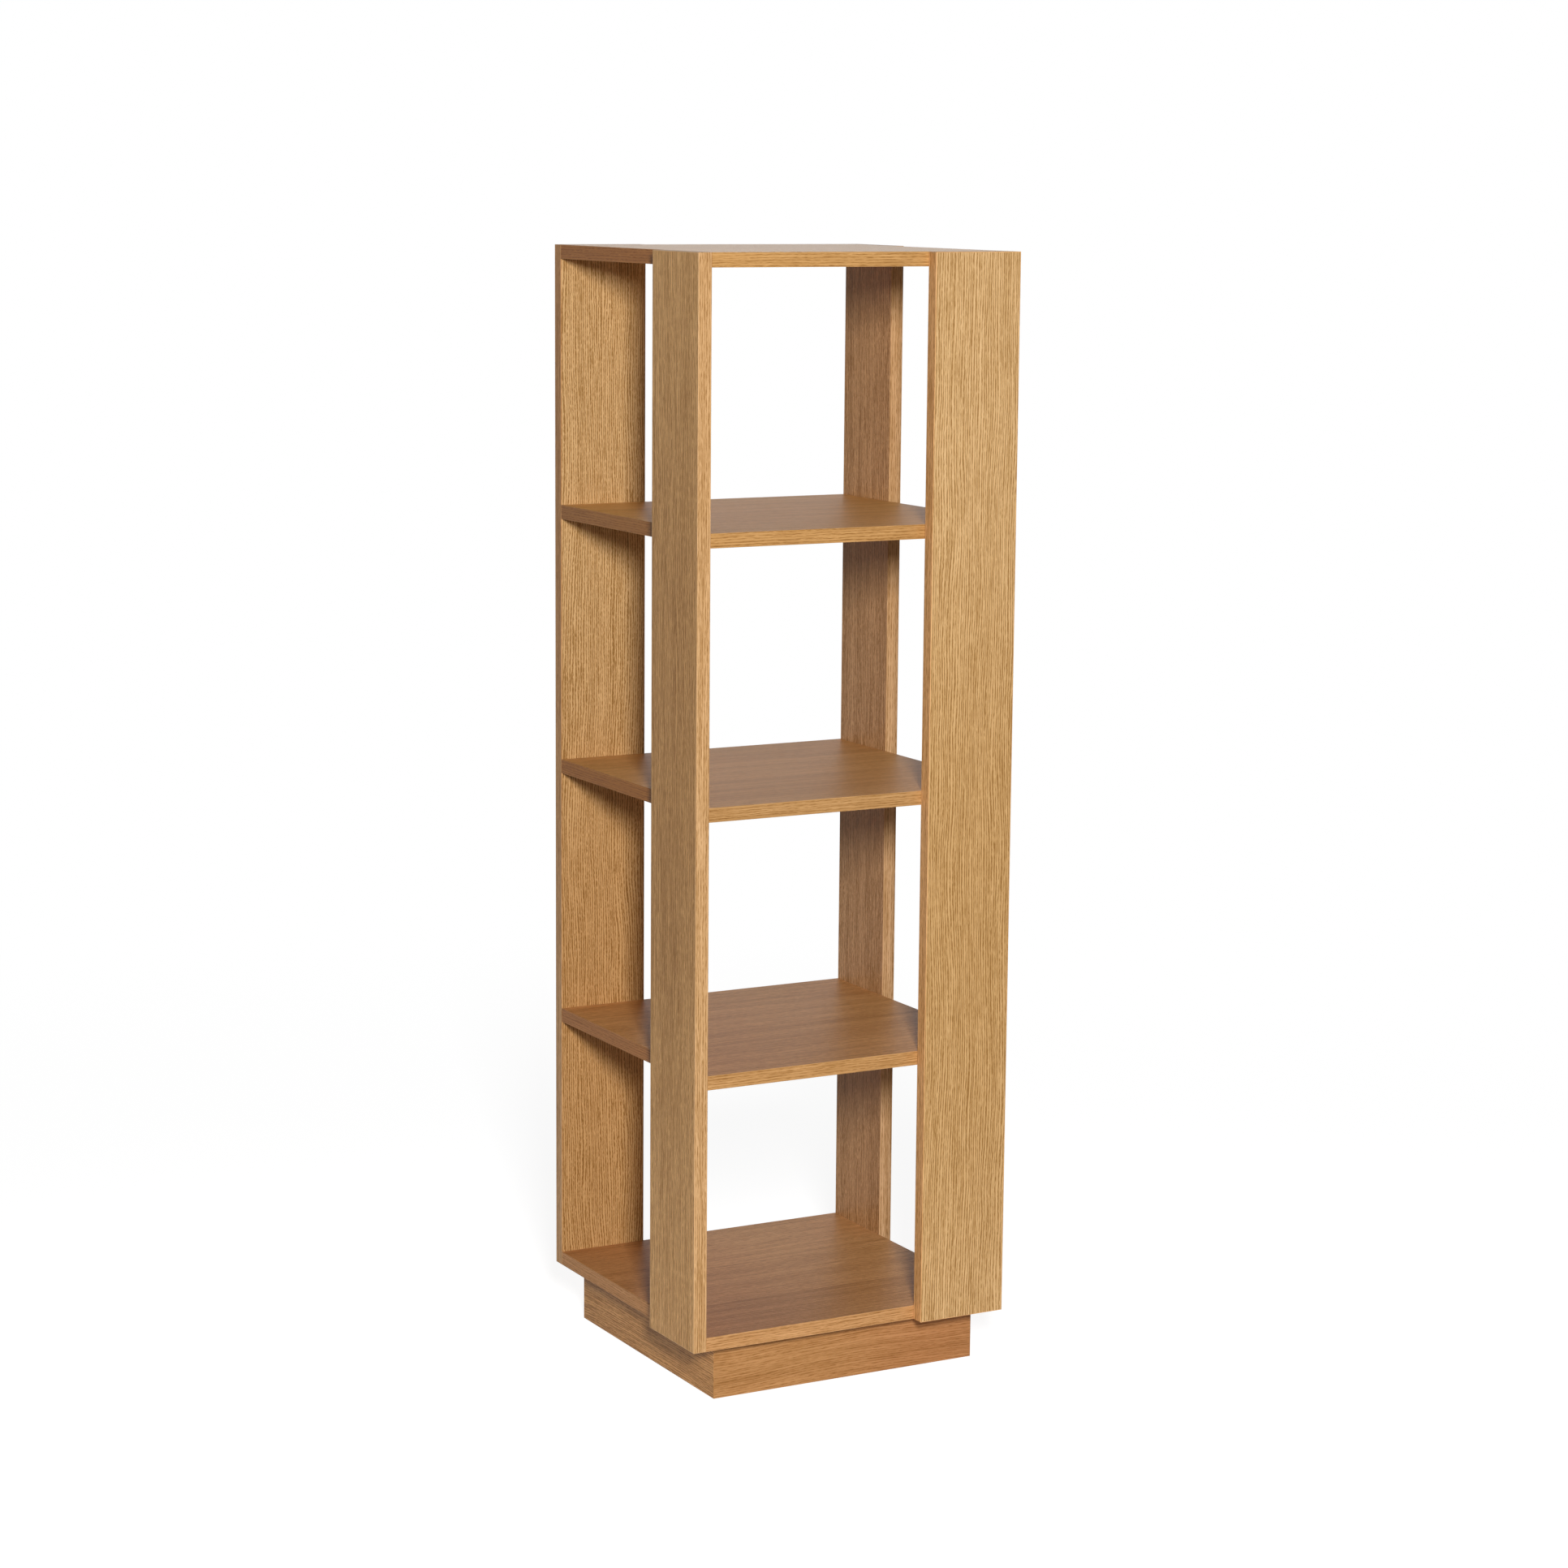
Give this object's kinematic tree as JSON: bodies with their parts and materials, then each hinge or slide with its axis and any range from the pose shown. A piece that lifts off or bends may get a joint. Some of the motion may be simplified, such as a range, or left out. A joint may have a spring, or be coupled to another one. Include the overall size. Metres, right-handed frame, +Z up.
{
  "type": "bookcase",
  "caption": "Tall square bookcase tower in light oak veneer, open on all sides, with one upright by each corner in a pinwheel plan and a recessed plinth.",
  "frame": {"origin": "on the floor, at the middle of the square footprint", "axes": "+Z up; -Y is the front, the picture's right-hand face; +X is to the right seen from the front"},
  "size_m": [0.48, 0.48, 1.5],
  "materials": {
    "upright_veneer": "oak veneer, grain upright, clear satin lacquer",
    "shelf_veneer": "oak veneer, grain from left to right, clear satin lacquer",
    "edge_veneer": "oak edging, grain along each edge, clear satin lacquer",
    "plinth_veneer": "oak veneer, grain level, clear satin lacquer",
    "softwood": "planed bare softwood",
    "beech": "bare turned beech",
    "cam_metal": "cast zinc, matte",
    "zinc_plated_steel": "bright zinc plate",
    "glide_plastic": "brown moulded plastic"
  },
  "bodies": {
    "root": {"front_right_upright": "upright_veneer", "front_right_upright_edging": "edge_veneer", "rear_right_upright": "upright_veneer", "rear_right_upright_edging": "edge_veneer", "rear_left_upright": "upright_veneer", "rear_left_upright_edging": "edge_veneer", "front_left_upright": "upright_veneer", "front_left_upright_edging": "edge_veneer", "bottom_shelf": "shelf_veneer", "bottom_shelf_edging": "edge_veneer", "lower_shelf": "shelf_veneer", "lower_shelf_edging": "edge_veneer", "middle_shelf": "shelf_veneer", "middle_shelf_edging": "edge_veneer", "upper_shelf": "shelf_veneer", "upper_shelf_edging": "edge_veneer", "top_shelf": "shelf_veneer", "top_shelf_edging": "edge_veneer", "front_plinth_board": "plinth_veneer", "right_plinth_board": "plinth_veneer", "rear_plinth_board": "plinth_veneer", "left_plinth_board": "plinth_veneer", "front_right_corner_block": "softwood", "rear_right_corner_block": "softwood", "rear_left_corner_block": "softwood", "front_left_corner_block": "softwood", "front_right_glide": "glide_plastic", "rear_right_glide": "glide_plastic", "rear_left_glide": "glide_plastic", "front_left_glide": "glide_plastic", "front_plinth_bracket": "zinc_plated_steel", "right_plinth_bracket": "zinc_plated_steel", "rear_plinth_bracket": "zinc_plated_steel", "left_plinth_bracket": "zinc_plated_steel", "cam_locks": "cam_metal", "cam_bolts": "zinc_plated_steel", "dowels": "beech", "block_screws": "zinc_plated_steel", "bracket_screws": "zinc_plated_steel"}
  },
  "joints": []
}
